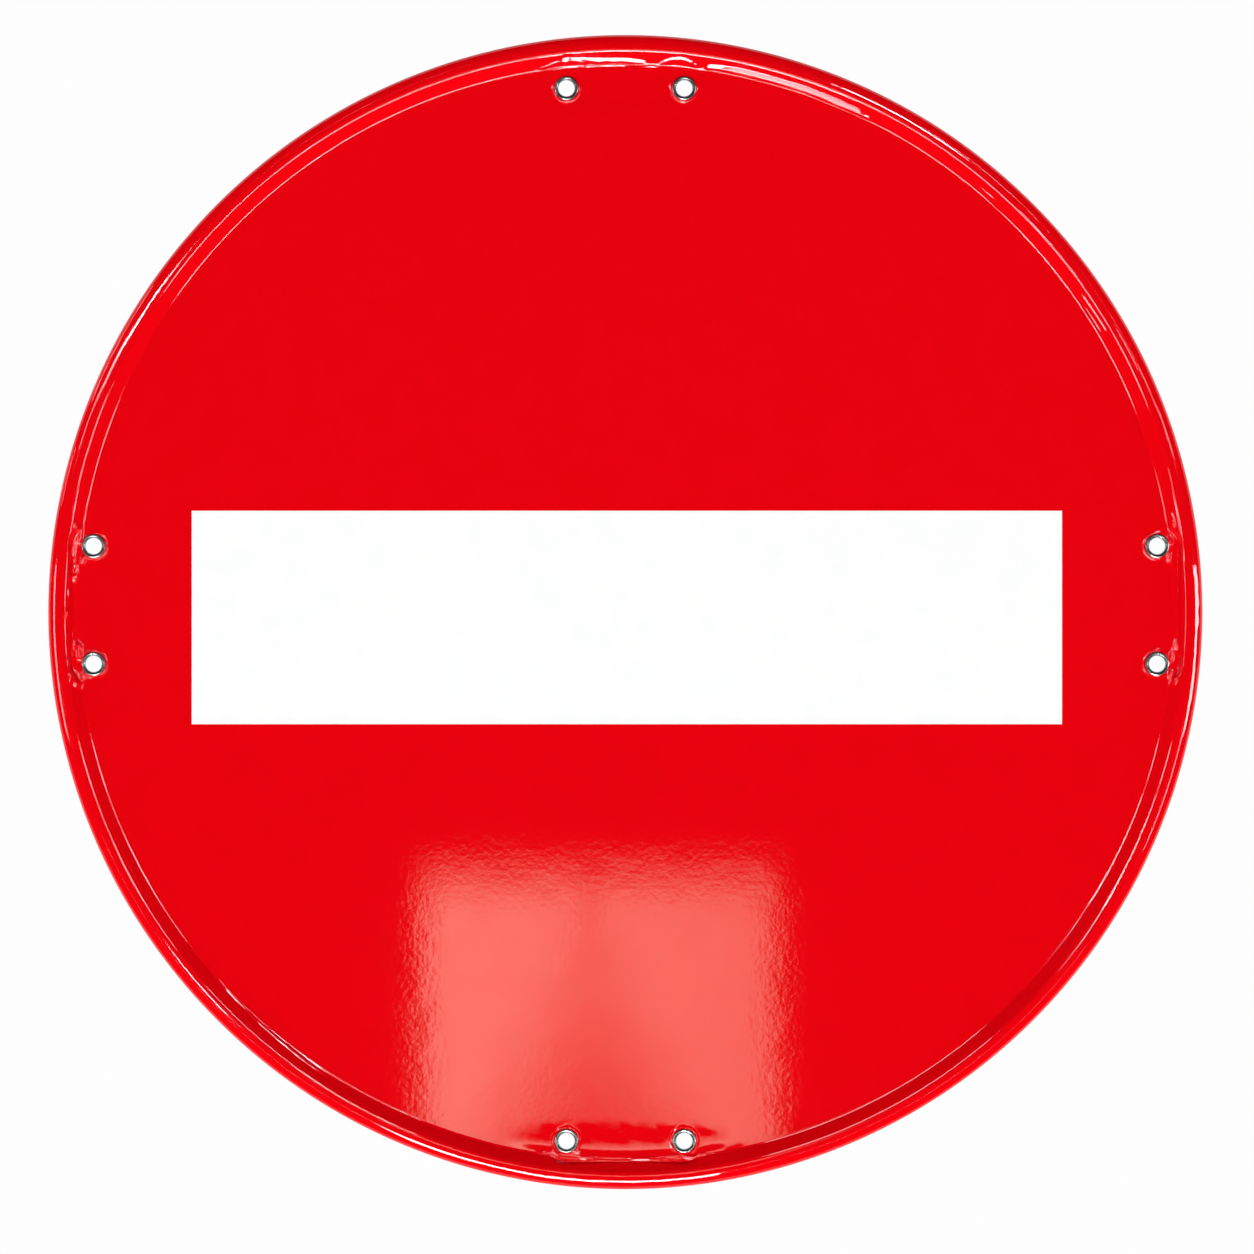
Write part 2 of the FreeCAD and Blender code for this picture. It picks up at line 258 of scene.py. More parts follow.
def low_dish(x, z):
    """The lowest dish, which is level only close to its eyelets."""
    (left, up), (right, _) = EYELETS[LOW_PAIR[0]], EYELETS[LOW_PAIR[1]]
    past_end = np.maximum(0, np.maximum(left - LOW_LONGER - x, x - right))
    share = dish_share(x, z, np.hypot(LOW_TAPER * past_end, z - up + LOW_SHIFT), LOW_REACH)
    near = np.minimum(np.hypot(x - left, z - up), np.hypot(x - right, z - up))
    return np.maximum(share, 1 - smooth((near - LIP_START) / (LIP_END - LIP_START)))


def dish(x, z):
    """How far the four dishes lie under the face."""
    share = low_dish(x, z)
    for pair in EYELET_PAIRS:
        if pair != LOW_PAIR:
            share += dish_share(x, z, pair_distance(x, z, pair), DISH_REACH)
    return PAD_DEPTH * share


# %% [markdown]
# Beside the holes the punch also flattened the wall, so that the washer of a bolt sits level. A
# flank as steep as the punch's side rises round each pair of holes, and whatever of the wall
# stands over that flank is pressed down to it.

# %% How much of the wall's rise the punch flattened
PAD_RADIUS, PAD_FLANK = 10.8 * MM, math.radians(60)
BITE_ROUNDING = 0.15 * MM


def bite(x, z, height, under):
    """What the punch takes from a height over the face, on a surface at a depth in the sheet."""
    cut = np.zeros_like(x)
    radius = PAD_RADIUS + under * math.tan(PAD_FLANK / 2)
    for pair in EYELET_PAIRS:
        flank = math.tan(PAD_FLANK) * np.maximum(0, pair_distance(x, z, pair) - radius)
        excess = np.maximum(0, height - flank)
        cut += excess - BITE_ROUNDING * (1 - np.exp(-excess / BITE_ROUNDING))
    return cut


# %% [markdown]
# The punch left small marks in the wall of the rim as well. Each follows a line that was read
# from the photo, in its pixels, and every long line runs roughly round the disc. So a line is
# kept as radius against azimuth, and a mark is a height across it: a ledge lays the wall flat
# at one tilt, a ridge is a low swelling, and a weal is a short one with steep flanks.

# %% Lines on the photo, as radius against azimuth
PHOTO_CENTRE, PHOTO_PIXEL = np.array([624.84, 611.57]), 0.5186 * MM
EDGE_MARGIN = 0.5 * MM  # so close to its edge the disc turns too steep to have one height


def as_heights(curve, under=0.0):
    """The part of a section that has one level at each radius."""
    return np.array([point for point in curve if point[0] < DISC_RADIUS - under - EDGE_MARGIN])


FRONT_LEVELS = as_heights(film_front)


def rise(radius):
    """Height of the front over the face."""
    return FACE_LEVEL - np.interp(radius, FRONT_LEVELS[:, 0], FRONT_LEVELS[:, 1])


def follow(path, x, z):
    """Distance outward from a drawn line, distance inside its ends, and the line's own radius."""
    across, down = ((np.array(path, float) - PHOTO_CENTRE) * PHOTO_PIXEL).T
    turns = np.degrees(np.arctan2(-down, across))
    start = turns[0]
    turns = (turns - start + 180) % 360 - 180
    order = np.argsort(turns)
    turns, radii = turns[order], np.hypot(across, down)[order]
    here = (np.degrees(np.arctan2(z, x)) - start + 180) % 360 - 180
    line = np.interp(here, turns, radii)
    inside = np.radians(np.minimum(here - turns[0], turns[-1] - here)) * line
    return np.hypot(x, z) - line, inside, line


# %% Heights of a ledge, a ridge and a weal
LEDGE_END, LEDGE_FALL = 1.5 * MM, 8  # length of its ends, and how sharply its sides end
LEDGE_REACH = 4  # where its height is cut off, in half widths
LEDGE_WANDER, LEDGE_WAVE = 0.25, 9 * MM
RIDGE_END = 3  # length of its ends, in half widths
STEEPEST = math.sqrt(2 / math.e)  # the steepest slope of a bell curve of height and width 1


def ledge(x, z, half_width, tilt, path, lean=0.0):
    """Lays a strip along a line at one tilt, or at one that grows outward by the lean."""
    outward, inside, line = follow(path, x, z)
    slope = math.radians(tilt) + math.radians(lean) / 2 * outward / half_width
    flat = rise(line) + np.tan(slope) * outward
    half_width = half_width * (1 + LEDGE_WANDER * wobble(x, z, LEDGE_WAVE))
    share = smooth(inside / LEDGE_END + 0.5) / (1 + (outward / half_width) ** LEDGE_FALL)
    within = np.abs(outward) < LEDGE_REACH * half_width
    return (flat - rise(line + outward)) * np.where(within, share, 0)


def ridge(x, z, half_width, height, path):
    """A low swelling along a line."""
    outward, inside, _ = follow(path, x, z)
    ends = smooth(inside / half_width / RIDGE_END + 0.5)
    return height * np.exp(-(outward / half_width) ** 2) * ends


def weal(x, z, half_width, tilt, start, end):
    """A short swelling whose flanks reach a tilt."""
    flip = (PHOTO_PIXEL, -PHOTO_PIXEL)
    start, end = (np.subtract(point, PHOTO_CENTRE) * flip for point in (start, end))
    away = segment_distance(x, z, start, end) / half_width
    return half_width * math.tan(math.radians(tilt)) / STEEPEST * np.exp(-away * away)


# %% Ledges: tilt in degrees, then half width in mm, line in pixels and any lean of each
LEDGES = {
    "top bar": (21.4, [
        (1.7, [(561, 60), (566, 58.5), (600, 58.5), (630, 58.5), (647, 61)]),
        (0.9, [(538, 67.5), (546, 65), (553, 61.5), (560, 60)]),
    ]),
    "top foot": (21.4, [
        (0.6, [(552, 68.5), (565, 66), (578, 65.3)]),
        (0.6, [(583, 65.3), (605, 64.6), (627, 64.3)]),
        (0.6, [(643, 65.3), (657, 65.9)]),
        (0.7, [(667, 63), (673, 61), (684, 61.5), (691, 65.5)]),
        (0.6, [(696, 68.5), (704, 67.5)]),
    ]),
    "top arch": (21.6, [
        (1.6, [(658, 62.5), (664, 59.5), (672, 57.5), (682, 57.5), (690, 60.5), (698, 65)]),
    ]),
    "upper right streak": (22.6, [
        (1.9, [(705.5, 64.3), (716, 66), (726, 68)]),
    ]),
    "upper right streak's length": (19.2, [
        (2.0, [(725, 66.5), (746, 70.5), (775, 78), (803.3, 87), (832.3, 98.3), (850.4, 106.3),
               (875, 118)], 2.4),
        (0.5, [(881, 119), (888, 122.5)]),
    ]),
    "upper right wall": (18.4, [
        (1.05, [(1076.5, 286.6), (1111.5, 338.7)]),
        (0.75, [(1076.5, 293.4), (1106.5, 340.3)]),
        (0.8, [(966, 175), (1003, 206)]),
        (1.0, [(999, 206), (1005, 212)]),
    ]),
    "lower left wall": (16.9, [
        (0.9, [(216, 980), (270, 1034), (331, 1081)]),
        (0.5, [(243, 1007), (287, 1044), (333, 1078)]),
    ]),
    "right wall": (25.3, [
        (0.7, [(1172, 490), (1179, 520), (1183, 544), (1184, 561)]),
        (0.6, [(1179, 547), (1179, 558)]),
        (0.7, [(1179, 570), (1181, 590), (1181, 615)]),
    ]),
    "right edge": (-18.7, [
        (0.8, [(1190, 514), (1192, 527)]),
        (1.5, [(1194, 561), (1197, 590), (1197, 629)]),
        (1.0, [(1196, 633), (1193, 680), (1186, 722)]),
    ]),
    "left wall": (25.3, [
        (0.7, [(77, 490), (73, 508)]),
        (0.7, [(83, 490), (77, 513)]),
        (0.6, [(69, 577), (67, 597)]),
        (0.6, [(68, 620), (69, 633)]),
        (0.7, [(75, 694), (80, 715)]),
    ]),
}
print("ledges:", sum(len(lines) for _, lines in LEDGES.values()))

# %% Weals: tilt of their flanks in degrees, then half width in mm and both ends of each
WEALS = {
    "top": (21.4, [
        (0.9, (541, 66), (542, 66)), (0.7, (526, 69.7), (528, 69.4)),
        (0.7, (583, 61), (582, 64.5)),
    ]),
    "right": (30.0, [
        (1.2, (1172, 522), (1172, 526)), (1.2, (1170, 538), (1171, 541)),
        (1.0, (1170, 555), (1169, 558)), (1.2, (1178, 642), (1176, 646)),
        (1.2, (1172, 653), (1171, 659)), (1.0, (1171, 672), (1170, 675)),
        (1.0, (1175, 677), (1174, 681)),
    ]),
    "left": (30.0, [
        (1.0, (76, 526), (76, 528)), (1.5, (79, 529), (78, 539)),
        (1.5, (72, 537), (71, 556)), (1.2, (82, 557), (81, 559)),
        (1.0, (75, 568), (75, 569)), (1.4, (72, 575), (72, 577)),
        (1.4, (67, 612), (67, 615)), (1.2, (73, 644), (76, 644)),
        (1.5, (78, 646), (79, 656)), (1.2, (72, 673), (71, 676)),
        (1.0, (83, 673), (83, 675)), (1.0, (79, 676), (80, 678)),
        (1.2, (76, 683), (79, 684)),
    ]),
    "bottom": (24.0, [
        (0.7, (529, 1151), (530, 1151)), (0.7, (539, 1152.5), (542, 1153)),
        (0.8, (554, 1152), (557, 1155)), (0.8, (575, 1152.5), (578, 1153)),
        (0.8, (580, 1157.5), (585, 1158.5)), (0.8, (591, 1158), (594, 1158.5)),
        (0.7, (630, 1159.5), (650, 1159)), (0.8, (660, 1158), (661, 1158)),
        (0.8, (669, 1157.5), (677, 1155.5)), (0.8, (685, 1157), (694, 1157.5)),
        (0.8, (700, 1155.5), (702, 1155)),
    ]),
}
print("weals:", sum(len(weals) for _, weals in WEALS.values()))

# %% Ridges: half width and height in mm, and line of each
RIDGES = [
    (0.5, 0.22, [(121, 850), (151, 901)]),
    (0.5, 0.22, [(1060, 959), (1079, 932)]),
    (4.0, 0.45, [(519, 1150.3), (567.5, 1157.6), (624.8, 1160.6), (682.2, 1157.6), (728, 1150.7)]),
]
print("ridges:", len(RIDGES))


# %% All the marks in the wall
def wall_marks(x, z):
    """The height of the ledges, weals and ridges together."""
    height = np.zeros_like(x)
    for tilt, lines in LEDGES.values():
        for half_width, path, *lean in lines:
            height += ledge(x, z, half_width * MM, tilt, path, *lean)
    for tilt, weals in WEALS.values():
        for half_width, start, end in weals:
            height += weal(x, z, half_width * MM, tilt, start, end)
    for half_width, swelling, path in RIDGES:
        height += ridge(x, z, half_width * MM, swelling * MM, path)
    return height


# %% [markdown]
# ## Turning a section into a disc
# A sheet of even thickness can be turned in one go, if its section is a closed loop: out along
# the front, round the edge and back along the rear. One point is extruded along that loop, and
# Spin turns it round the axis, in fine steps beside the holes and in wider ones elsewhere.

# %% Helpers to draw a section and to spin it
WELD = 0.005 * MM


def deselect_all():
    """Leaves edit mode, and deselects every object."""
    if bpy.context.object and bpy.context.object.mode != "OBJECT":
        bpy.ops.object.mode_set(mode="OBJECT")
    bpy.ops.object.select_all(action="DESELECT")


def draw_section(name, points):
    """A mesh of one chain of edges through (radius, level) points, in edit mode."""
    deselect_all()
    start = (*points[0], 0)
    bpy.context.tool_settings.mesh_select_mode = (True, False, False)
    bpy.ops.mesh.primitive_plane_add(size=MM, location=(0, 0, 0))
    piece = bpy.context.object
    piece.name = piece.data.name = name
    bpy.ops.object.mode_set(mode="EDIT")
    bpy.ops.mesh.select_all(action="SELECT")
    bpy.ops.mesh.merge(type="CENTER")
    bpy.ops.transform.translate(value=start)
    for here, there in zip(points, points[1:]):
        step = (there[0] - here[0], there[1] - here[1], 0)
        bpy.ops.mesh.extrude_region_move(TRANSFORM_OT_translate={"value": step})
    return piece


def spin_round(sectors, copies=0):
    """Turns the chain about the disc's axis through (degrees, steps) sectors, and copies them."""
    turn = {"center": (0, 0, 0), "axis": (0, -1, 0)}
    bpy.ops.mesh.select_all(action="SELECT")
    for degrees, steps in sectors:
        bpy.ops.mesh.spin(steps=steps, angle=math.radians(degrees), **turn)
    bpy.ops.mesh.select_all(action="SELECT")
    if copies:
        share = math.radians(360 / (copies + 1))
        bpy.ops.mesh.spin(steps=copies, angle=copies * share, dupli=True, **turn)
        bpy.ops.mesh.select_all(action="SELECT")
    bpy.ops.mesh.remove_doubles(threshold=WELD)
    bpy.ops.mesh.select_all(action="SELECT")
    bpy.ops.mesh.normals_make_consistent(inside=False)
    bpy.ops.object.mode_set(mode="OBJECT")


# %% Sectors of a quarter of the disc, fine beside its holes
FINE_HALF = 9.5  # degrees to either side of a pair of holes
FINE_STEPS, COARSE_STEPS = 44, 60
QUARTER = [(FINE_HALF, FINE_STEPS), (90 - 2 * FINE_HALF, COARSE_STEPS), (FINE_HALF, FINE_STEPS)]
print("columns round the disc:", 4 * sum(steps for _, steps in QUARTER))

# %% Helpers to pick faces and to read and write points
def select_faces(piece, test):
    """Selects the faces whose centre passes a test, and goes into edit mode."""
    centres = np.empty(3 * len(piece.data.polygons))
    piece.data.polygons.foreach_get("center", centres)
    chosen = test(*centres.reshape(-1, 3).T)
    for others in (piece.data.vertices, piece.data.edges):
        others.foreach_set("select", np.zeros(len(others), bool))
    piece.data.polygons.foreach_set("select", chosen)
    bpy.context.tool_settings.mesh_select_mode = (False, False, True)
    bpy.ops.object.mode_set(mode="EDIT")
    return int(chosen.sum())


def read_points(piece):
    points = np.empty(3 * len(piece.data.vertices))
    piece.data.vertices.foreach_get("co", points)
    return points.reshape(-1, 3)


def write_points(piece, points):
    piece.data.vertices.foreach_set("co", points.ravel())
    piece.data.update()


def near_an_eyelet(x, z, reach):
    return np.min([np.hypot(x - across, z - up) for across, up in EYELETS.values()], axis=0) < reach


# %% [markdown]
# A press moves the whole sheet, so the marks move points and not only the shading. Points that
# lie on one of a disc's surfaces are found by their level, and are shifted by the same marks as
# the surface beside them. None may pass the crest of the rim, which is the foremost line of all.

# %% Press the marks into a spun disc
ON_SURFACE = 0.1 * MM


def press(piece, surfaces):
    """Moves each surface's points by the marks. A surface is (curve, depth, extra marks)."""
    points = read_points(piece)
    x, y, z = points.T.copy()
    radius = np.hypot(x, z)
    for curve, under, extras in surfaces:
        levels = as_heights(curve, under)
        level = np.interp(radius, levels[:, 0], levels[:, 1])
        here = (np.abs(y - level) < ON_SURFACE) & (radius < levels[-1, 0])
        inside = radius[here] < CREST_RADIUS
        height = FACE_LEVEL + under - level[here]
        marks = -dish(x[here], z[here]) - bite(x[here], z[here], height, under) * inside
        for extra in extras:
            marks += extra(x[here], z[here])
        points[here, 1] = np.maximum(points[here, 1] - marks, under - DEPTH)
    write_points(piece, points)


# %% [markdown]
# ## The red film
# The film is a sheet 0.4 mm thick over the whole front, round the rim and onto the flange. It is
# turned from its own closed section, divided more finely where the lips stand round the
# eyelets, and pressed. Its holes and the window for the bar are cut last, with a Boolean, so
# that their edges stay sharp.

# %% Turn the film and press it
LIP_FACES = 8.6 * MM  # a ring a little wider than a lip
film = draw_section("pressed_red_film", film_front + film_back[::-1])
spin_round(QUARTER, copies=3)
fine = select_faces(film, lambda x, y, z: near_an_eyelet(x, z, LIP_FACES) & (y < FACE_LEVEL + ON_SURFACE))
bpy.ops.mesh.subdivide(number_cuts=2)
bpy.ops.object.mode_set(mode="OBJECT")
press(film, [(film_front, 0, [lips, wall_marks]), (film_back, FILM, [wall_marks])])
print("film:", fine, "faces divided,", len(film.data.polygons), "faces")

# %% Cutters for the holes and the window
BARREL, BARREL_GAP, BAR_GAP = 4.95 * MM, 0.05 * MM, 0.05 * MM


def hole_cutters():
    """Eight rods, joined as one object."""
    deselect_all()
    rods = []
    for across, up in EYELETS.values():
        bpy.ops.mesh.primitive_cylinder_add(
            vertices=64, radius=BARREL + BARREL_GAP, depth=2 * DEPTH,
            location=(across, FACE_LEVEL, up), rotation=(QUARTER_TURN, 0, 0))
        rods.append(bpy.context.object)
    for rod in rods:
        rod.select_set(True)
    bpy.ops.object.join()
    return bpy.context.object


def window_cutter():
    """A block on the bar's outline, a hair larger all round."""
    low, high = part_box("white_bar")
    size = (high.x - low.x + 2 * BAR_GAP, 10 * FILM, high.z - low.z + 2 * BAR_GAP)
    deselect_all()
    bpy.ops.mesh.primitive_cube_add(size=1, location=(low + high) / 2)
    bpy.ops.transform.resize(value=size)
    return bpy.context.object


# %% Cut the film and smooth its shading
SMOOTH_UNDER = math.radians(32)


def cut(piece, cutter):
    """Takes a cutter's shape out of a piece, and removes the cutter."""
    deselect_all()
    bpy.context.view_layer.objects.active = piece
    piece.select_set(True)
    boolean = piece.modifiers.new("cut", "BOOLEAN")
    boolean.operation, boolean.solver, boolean.object = "DIFFERENCE", "EXACT", cutter
    bpy.ops.object.modifier_apply(modifier=boolean.name)
    bpy.data.objects.remove(cutter)


cut(film, hole_cutters())
cut(film, window_cutter())
bpy.ops.object.shade_smooth_by_angle(angle=SMOOTH_UNDER)
print("film after its cuts:", len(film.data.polygons), "faces")

# %% [markdown]
# ## The steel disc
# Behind the film is the pressed steel, 1.8 mm thick, whose flange runs back past the film to the
# plane that bears on the wall. It is made as the film is. Its front is hidden, so only its back
# is divided finely, and only its front, which lies against the film, has the wall's small marks.

# %% Turn the steel disc and press it
plate = draw_section("pressed_steel_disc", steel_front + steel_back[::-1])
spin_round(QUARTER, copies=3)
press(plate, [(steel_front, FILM, [wall_marks]), (steel_back, STACK, [])])
cut(plate, hole_cutters())
bpy.ops.object.shade_smooth_by_angle(angle=SMOOTH_UNDER)
print("steel disc:", len(plate.data.polygons), "faces")

# %% [markdown]
# ## The white bar
# The bar is a strip of white film let into the red, flush with it. A cube is resized to the CAD
# bar, and its front edges get a bevel as small as a knife leaves.

# %% Make the bar
KNIFE_BEVEL = 0.04 * MM
bar_low, bar_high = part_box("white_bar")
deselect_all()
bpy.ops.mesh.primitive_cube_add(size=1, location=(bar_low + bar_high) / 2)
bar = bpy.context.object
bar.name = bar.data.name = "white_film_bar"
bpy.ops.transform.resize(value=bar_high - bar_low)
bpy.ops.object.transform_apply(location=True, rotation=True, scale=True)
select_faces(bar, lambda x, y, z: y < bar_low.y + KNIFE_BEVEL)
bpy.ops.mesh.bevel(offset=KNIFE_BEVEL, segments=1)
bpy.ops.object.mode_set(mode="OBJECT")
print("bar:", [round(size / MM, 2) for size in bar.dimensions], "mm")

# %% [markdown]
# ## The eyelets
# Each hole is lined by a plated steel eyelet. Its flange is rounded into the bore in front, and
# its end is clinched over the back of the steel, so one turned section gives the whole piece.
# One eyelet is modelled and seven are copied from it, each with its own mesh.

# %% The section of an eyelet
BORE, THROAT, LIP = 4.15 * MM, 1.3 * MM, 0.5 * MM
FLANGE, FLANGE_THICKNESS = 6.2 * MM, 1.0 * MM
CLINCH, CLINCH_THICKNESS = 6.0 * MM, 0.9 * MM
seat = FACE_LEVEL + PAD_DEPTH
front, back = seat - FLANGE_THICKNESS, seat + STACK + CLINCH_THICKNESS


def arc_points(centre, radius, start, end, steps):
    """Points of an arc between two quarters of a turn, without its first one."""
    turns = QUARTER_TURN * np.linspace(start, end, steps + 1)[1:]
    return [(centre[0] + radius * math.cos(t), centre[1] + radius * math.sin(t)) for t in turns]


eyelet_section = [(BORE, front + THROAT)]
eyelet_section += arc_points((BORE + THROAT, front + THROAT), THROAT, 2, 3, 9)
eyelet_section += [(FLANGE - LIP, front)]
eyelet_section += arc_points((FLANGE - LIP, front + LIP), LIP, -1, 0, 5)
eyelet_section += [(FLANGE, seat), (BARREL, seat), (BARREL, seat + STACK), (CLINCH, seat + STACK)]
eyelet_section += [(CLINCH, back - LIP)]
eyelet_section += arc_points((CLINCH - LIP, back - LIP), LIP, 0, 1, 4)
eyelet_section += [(BORE + THROAT, back)]
eyelet_section += arc_points((BORE + THROAT, back - THROAT), THROAT, 1, 2, 7)
print("eyelet's section:", len(eyelet_section), "points")

# %% Turn one eyelet
pattern = draw_section("eyelet_pattern", eyelet_section)
bpy.ops.mesh.select_all(action="SELECT")
bpy.ops.mesh.edge_face_add()  # joins the chain's ends, and its face is then taken out again
bpy.ops.mesh.delete(type="ONLY_FACE")
spin_round([(360, 72)])
bpy.ops.object.shade_smooth_by_angle(angle=SMOOTH_UNDER)
print("eyelet:", len(pattern.data.polygons), "faces")

# %% Copy it to the eight holes
turned_eyelets = []
for node, (across, up) in EYELETS.items():
    copy = pattern.copy()
    copy.data = pattern.data.copy()
    copy.name = copy.data.name = "turned_" + node
    bpy.context.scene.collection.objects.link(copy)
    points = read_points(copy)
    from_axis = copy.data.attributes.new("from_axis", "FLOAT", "POINT")
    from_axis.data.foreach_set("value", np.hypot(points[:, 0], points[:, 2]))
    write_points(copy, points + (across, 0, up))
    turned_eyelets.append((node, copy))
bpy.data.objects.remove(pattern)
print("eyelets:", len(turned_eyelets))

# %% [markdown]
# ## Finishes
# A material here starts from what the surface really is. One function turns a colour as written
# on a screen into the linear values that the shader needs, and another adds a node with its
# settings and links, so that each finish reads as a short list.

# %% Helpers for colours and nodes
def linear(code):
    """A colour written as sRGB hex, as linear values."""
    parts = [int(code[start:start + 2], 16) / 255 for start in (1, 3, 5)]
    return [part / 12.92 if part <= 0.04045 else ((part + 0.055) / 1.055) ** 2.4 for part in parts] + [1]


def new_material(name):
    """A new material, its node tree and its shader."""
    material = bpy.data.materials.new(name)
    material.use_nodes = True
    return material, material.node_tree, material.node_tree.nodes["Principled BSDF"]


def add_node(tree, kind, settings=None, values=None, links=None):
    """Adds a node. Settings are its properties, values its inputs, links its linked inputs."""
    node = tree.nodes.new(kind)
    for key, value in (settings or {}).items():
        setattr(node, key, value)
    for key, value in (values or {}).items():
        node.inputs[key].default_value = value
    for key, source in (links or {}).items():
        tree.links.new(source, node.inputs[key])
    return node


def grain(size):
    """The scale at which a noise or cell pattern on Object coordinates has grains of a size."""
    return 1 / size


# %% [markdown]
# ## Red and white film
# Sign film is a cast plastic sheet with a glossy face. It lies on steel, and the steel's fine
# unevenness shows through it as orange peel: waves a few millimetres long and only microns
# high. They leave the colour alone and give the edges of a reflection their crumbled look. Two
# bump nodes in a row do that, because such waves are far too low to be worth a mesh.

# %% Glossy sign film, rolled onto steel
PEEL_LENGTH, PEEL_HEIGHT = 2.6 * MM, 0.011 * MM
SWELL_LENGTH, SWELL_HEIGHT = 14 * MM, 0.02 * MM
DEEP_UNDER, FULL_OVER = 0.3, 0.6  # levels of the swell at which the colour is deep, and full
ACRYLIC_IOR, FILM_ROUGHNESS = 1.49, 0.035


def sign_film(name, colour, deep_colour):
    """Cast film, laid by roller: even colour, mirror-like gloss, peel under it."""
    material, tree, shader = new_material(name)
    place = add_node(tree, "ShaderNodeTexCoord").outputs["Object"]
    waves = {"Scale": grain(PEEL_LENGTH), "Detail": 1.0, "Roughness": 0.5}
    peel = add_node(tree, "ShaderNodeTexNoise", values=waves, links={"Vector": place})
    waves = {"Scale": grain(SWELL_LENGTH), "Detail": 1.0}
    swell = add_node(tree, "ShaderNodeTexNoise", values=waves, links={"Vector": place})
    low = add_node(tree, "ShaderNodeBump", values={"Strength": 1.0, "Distance": SWELL_HEIGHT},
                   links={"Height": swell.outputs["Fac"]})
    both = add_node(tree, "ShaderNodeBump", values={"Strength": 1.0, "Distance": PEEL_HEIGHT},
                    links={"Height": peel.outputs["Fac"], "Normal": low.outputs["Normal"]})
    tint = add_node(tree, "ShaderNodeValToRGB", links={"Fac": swell.outputs["Fac"]})
    deep, full = tint.color_ramp.elements
    deep.color, deep.position = linear(deep_colour), DEEP_UNDER
    full.color, full.position = linear(colour), FULL_OVER
    tree.links.new(tint.outputs["Color"], shader.inputs["Base Color"])
    tree.links.new(both.outputs["Normal"], shader.inputs["Normal"])
    shader.inputs["IOR"].default_value = ACRYLIC_IOR
    shader.inputs["Roughness"].default_value = FILM_ROUGHNESS
    return material


red_film = sign_film("cast_acrylic_sign_film_red", "#E6020E", "#E4020D")
white_film = sign_film("cast_acrylic_sign_film_white", "#FCFCFC", "#FAFBFB")
print("finishes:", red_film.name, white_film.name)

# %% [markdown]
# ## Zinc-plated eyelets
# The eyelets are pressed from steel strip and plated with bright zinc, which looks grey with a
# cold blue cast. The press leaves fine rings round the bore. The rings follow each eyelet's own
# axis, so they read the distance from it that the mesh carries.

# %% Bright zinc plate, drawn and rolled over
RING_SPACING, RING_HEIGHT = 0.35 * MM, 0.006 * MM
zinc, tree, shader = new_material("bright_zinc_plate_on_drawn_steel")
away = add_node(tree, "ShaderNodeAttribute", {"attribute_name": "from_axis"}).outputs["Fac"]
turns = add_node(tree, "ShaderNodeMath", {"operation": "MULTIPLY"},
                 {1: 2 * math.pi / RING_SPACING}, {0: away})
wave = add_node(tree, "ShaderNodeMath", {"operation": "SINE"}, links={0: turns.outputs[0]})
rings = add_node(tree, "ShaderNodeBump", values={"Strength": 1.0, "Distance": RING_HEIGHT},
                 links={"Height": wave.outputs[0]})
tree.links.new(rings.outputs["Normal"], shader.inputs["Normal"])
shader.inputs["Base Color"].default_value = linear("#C8D2D3")
shader.inputs["Metallic"].default_value = 1.0
shader.inputs["Roughness"].default_value = 0.27
print("finish:", zinc.name)

# %% [markdown]
# ## Galvanised steel
# Sheet that was dipped in zinc freezes into flat crystals, called spangle, each a slightly
# different grey and gloss. Cells of a Voronoi pattern are those crystals. On pressed sign
# blanks they are small, about a centimetre. The back doesn't show in the photo, so nothing more
# than the bare sheet is given to it.

# %% Hot-dip galvanised sheet with small spangle
SPANGLE, SMUDGE = 9 * MM, 60 * MM
GLOSSIEST, DULLEST = 0.42, 0.56  # roughness of the clean and of the smudged zinc
steel, tree, shader = new_material("hot_dip_galvanised_sheet")
place = add_node(tree, "ShaderNodeTexCoord").outputs["Object"]
cells = add_node(tree, "ShaderNodeTexVoronoi", values={"Scale": grain(SPANGLE)}, links={"Vector": place})
shade = add_node(tree, "ShaderNodeSeparateColor", links={"Color": cells.outputs["Color"]})
greys = add_node(tree, "ShaderNodeValToRGB", links={"Fac": shade.outputs["Red"]})
greys.color_ramp.elements[0].color = linear("#A3A8AA")
greys.color_ramp.elements[1].color = linear("#BDC1C2")
smudges = add_node(tree, "ShaderNodeTexNoise", values={"Scale": grain(SMUDGE), "Detail": 3.0},
                   links={"Vector": place})
gloss = add_node(tree, "ShaderNodeMapRange", values={"To Min": GLOSSIEST, "To Max": DULLEST},
                 links={"Value": smudges.outputs["Fac"]})
tree.links.new(greys.outputs["Color"], shader.inputs["Base Color"])
tree.links.new(gloss.outputs["Result"], shader.inputs["Roughness"])
shader.inputs["Metallic"].default_value = 1.0
print("finish:", steel.name)

# %% [markdown]
# ## Pieces and the CAD model
# Each piece takes the place of one CAD node, which is hidden, and rides on the body that the node
# belongs to. A sign has no moving parts, so there is one body, the root.

# %% Give each piece its finish, its CAD node and its body
FINISHED = [
    (film, red_film, "red_film", "red_film"),
    (plate, steel, "galvanised_steel", "sign_plate"),
    (bar, white_film, "white_film", "white_bar"),
]
FINISHED += [(eyelet, zinc, "zinc_plate", node) for node, eyelet in turned_eyelets]
for piece, material, slot, node in FINISHED:
    piece.data.materials.clear()
    piece.data.materials.append(material)
    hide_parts(node)
    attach(piece, "root")
print("finished:", len(FINISHED), "pieces")

# %% [markdown]
# ## Light
# The sign was lit from low down in front. That is why the wall of the rim glows at the top,
# where it faces the lamp, and is dark at the bottom. A glossy film shows every lamp as a
# mirror does, so each panel is placed by the direction in which it is seen from the sign. A lamp
# whose mirror image isn't in the photo still lights the sign, but is hidden from gloss.

